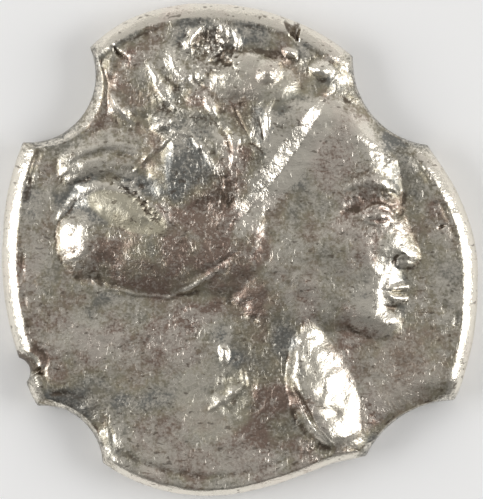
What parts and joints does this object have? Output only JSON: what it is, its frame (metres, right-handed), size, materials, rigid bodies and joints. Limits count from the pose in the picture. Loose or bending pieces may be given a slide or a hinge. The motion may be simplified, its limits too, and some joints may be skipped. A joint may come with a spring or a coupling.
{
  "type": "tetrobol",
  "caption": "Small worn silver coin with an uneven rounded flan and scalloped edge, a head in profile in relief on the obverse and a shallow seated figure on the reverse",
  "frame": {"origin": "middle of the flan's outline, on the surface that the coin lies on with its obverse up", "axes": "+Z out of the obverse, +X the way that the head looks, +Y the top of the head"},
  "size_m": [0.0134, 0.0138, 0.0018],
  "materials": {
    "silver": "worn toned silver, satin with fine scratches and bright rubbed edges"
  },
  "bodies": {
    "root": {"coin": "silver"}
  },
  "joints": []
}
